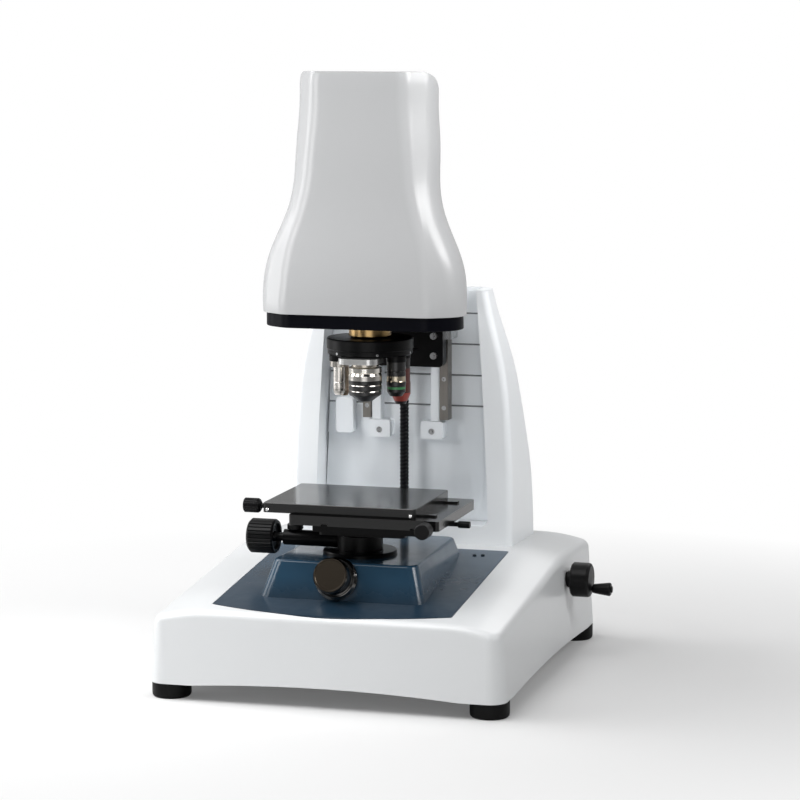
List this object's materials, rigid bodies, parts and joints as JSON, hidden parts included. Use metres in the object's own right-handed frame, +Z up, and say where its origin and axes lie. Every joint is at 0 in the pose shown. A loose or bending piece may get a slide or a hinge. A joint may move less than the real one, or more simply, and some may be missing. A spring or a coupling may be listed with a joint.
{
  "type": "optical profiler",
  "caption": "Bench-top optical surface profiler: white base, A-shaped upright, lifting head with an objective turret, and an XY tip and tilt stage.",
  "frame": {"origin": "the point of the bench midway between the four feet", "axes": "+X to the user's right, +Y to the rear, +Z up"},
  "size_m": [0.5111, 0.525, 0.77],
  "materials": {
    "white_cover": "white moulded cover, satin gloss",
    "navy_moulding": "navy gloss moulding",
    "dark_band": "near-black painted plate",
    "cast_frame": "painted grey cast iron",
    "white_metal": "white painted metal",
    "black_alloy": "black anodised aluminium",
    "stage_plate": "black anodised plate, polished",
    "bare_alloy": "machined aluminium",
    "steel": "ground steel",
    "screw_steel": "blackened steel screw",
    "chrome_trim": "bright chrome",
    "brass_ring": "brass",
    "bronze_cap": "bronze tinted disc",
    "rubber_foot": "black rubber",
    "black_plastic": "black moulded plastic",
    "objective_chrome": "chromed barrel with black rings",
    "objective_silver": "satin silver barrel",
    "objective_bronze": "bronze barrel",
    "objective_green": "black barrel with a green ring",
    "objective_red": "black barrel with a red ring",
    "lens_glass": "coated optical glass"
  },
  "bodies": {
    "base": {"base_cover": "white_cover", "column_cover": "white_cover", "plinth_panel": "navy_moulding", "base_casting": "cast_frame", "column_casting": "cast_frame", "channel_cover": "white_metal", "rail_bars": "white_metal", "rail_stops": "white_metal", "limit_switch_cover": "white_cover", "guide_rails": "steel", "rail_screws": "steel", "screw_bearing_lower": "brass_ring", "screw_bearing_upper": "black_alloy", "shaft_collar": "black_alloy", "feet": "rubber_foot", "panel_screws": "screw_steel", "rear_inlet": "black_plastic", "stage_post": "black_alloy", "stage_base_plate": "black_alloy", "tilt_housing": "black_alloy", "front_knob_ring": "chrome_trim"},
    "head": {"head_cover": "white_cover", "head_base_plate": "dark_band", "carriage": "black_alloy", "carriage_screws": "steel", "carriage_shoes": "steel", "lift_nut": "black_alloy", "head_arm": "black_alloy", "splitter_housing": "black_alloy", "beam_splitter": "lens_glass", "light_source": "black_alloy", "fold_mirror_block": "black_alloy", "tube_barrel": "black_alloy", "tube_lens": "lens_glass", "camera": "bare_alloy", "turret_ring": "brass_ring"},
    "turret": {"turret_body": "black_alloy", "adapter_plate": "bare_alloy", "objective_large": "objective_chrome", "objective_silver": "objective_silver", "objective_bronze": "objective_bronze", "objective_green": "objective_green", "objective_red": "objective_red"},
    "lift_screw": {"lead_screw": "screw_steel", "screw_gear": "steel"},
    "wheel": {"handwheel": "black_plastic", "drive_shaft": "steel", "shaft_gear": "steel"},
    "crank": {"crank_knob": "black_plastic"},
    "gimbal": {"gimbal_cross": "steel"},
    "tilting_stage": {"tilt_plate": "black_alloy"},
    "y_stage": {"stage_y_plate": "stage_plate"},
    "x_stage": {"stage_top_plate": "stage_plate", "stage_pins": "chrome_trim"},
    "x_drive_knob": {"x_knob": "black_plastic"},
    "y_drive_knob": {"y_knob": "black_plastic"},
    "tip_drive_knob": {"tip_knob": "black_alloy"},
    "tilt_drive_knob": {"tilt_knob": "black_plastic"},
    "lock_screw": {"tilt_lock_screw": "black_plastic"},
    "front_control": {"front_knob": "bronze_cap"}
  },
  "joints": [
    {"name": "head_lift", "type": "slide", "parent": "base", "child": "head", "axis": [0, 0, 1], "range_m": [-0.095, 0.02]},
    {"name": "turret_turn", "type": "hinge", "parent": "head", "child": "turret", "pos_m": [0, -0.053, 0.43], "axis": [0, 0, 1], "continuous": true},
    {"name": "lift_screw_turn", "type": "hinge", "parent": "base", "child": "lift_screw", "pos_m": [0, 0.106, 0.3], "axis": [0, 0, 1], "continuous": true},
    {"name": "handwheel_turn", "type": "hinge", "parent": "base", "child": "wheel", "pos_m": [0.23, 0.106, 0.106], "axis": [1, 0, 0], "continuous": true},
    {"name": "crank_spin", "type": "hinge", "parent": "wheel", "child": "crank", "pos_m": [0.268, 0.106, 0.095], "axis": [1, 0, 0], "continuous": true},
    {"name": "stage_tilt", "type": "hinge", "parent": "base", "child": "gimbal", "pos_m": [0, -0.098, 0.2052], "axis": [0, 1, 0], "range_deg": [-1.2, 1.2]},
    {"name": "stage_tip", "type": "hinge", "parent": "gimbal", "child": "tilting_stage", "pos_m": [0, -0.098, 0.2052], "axis": [1, 0, 0], "range_deg": [-1.2, 1.2]},
    {"name": "stage_y", "type": "slide", "parent": "tilting_stage", "child": "y_stage", "axis": [0, 1, 0], "range_m": [-0.025, 0.025]},
    {"name": "stage_x", "type": "slide", "parent": "y_stage", "child": "x_stage", "axis": [1, 0, 0], "range_m": [-0.01, 0.035]},
    {"name": "x_knob_turn", "type": "hinge", "parent": "x_stage", "child": "x_drive_knob", "pos_m": [-0.115, -0.181, 0.235], "axis": [1, 0, 0], "continuous": true},
    {"name": "y_knob_turn", "type": "hinge", "parent": "y_stage", "child": "y_drive_knob", "pos_m": [0.117, -0.22, 0.22], "axis": [0, 1, 0], "continuous": true},
    {"name": "tip_knob_turn", "type": "hinge", "parent": "tilting_stage", "child": "tip_drive_knob", "pos_m": [0.14, -0.112, 0.2108], "axis": [1, 0, 0], "range_deg": [-110, 110]},
    {"name": "tilt_knob_turn", "type": "hinge", "parent": "base", "child": "tilt_drive_knob", "pos_m": [-0.13, -0.098, 0.1815], "axis": [1, 0, 0], "range_deg": [-110, 110]},
    {"name": "tilt_lock_turn", "type": "hinge", "parent": "base", "child": "lock_screw", "pos_m": [-0.086, -0.098, 0.195], "axis": [0, 0, 1], "range_deg": [-180, 20]},
    {"name": "front_knob_turn", "type": "hinge", "parent": "base", "child": "front_control", "pos_m": [-0.006, -0.17712, 0.146], "axis": [0, -0.9421, 0.3355], "range_deg": [-150, 150]}
  ],
  "couplings": [
    {"joint": "lift_screw_turn", "follows": "head_lift", "rad_per_m": 628.32},
    {"joint": "handwheel_turn", "follows": "head_lift", "rad_per_m": -628.32},
    {"joint": "tip_knob_turn", "follows": "stage_tip", "ratio": 90},
    {"joint": "tilt_knob_turn", "follows": "stage_tilt", "ratio": 90},
    {"joint": "x_knob_turn", "follows": "stage_x", "rad_per_m": 1570.8},
    {"joint": "y_knob_turn", "follows": "stage_y", "rad_per_m": 1570.8}
  ]
}
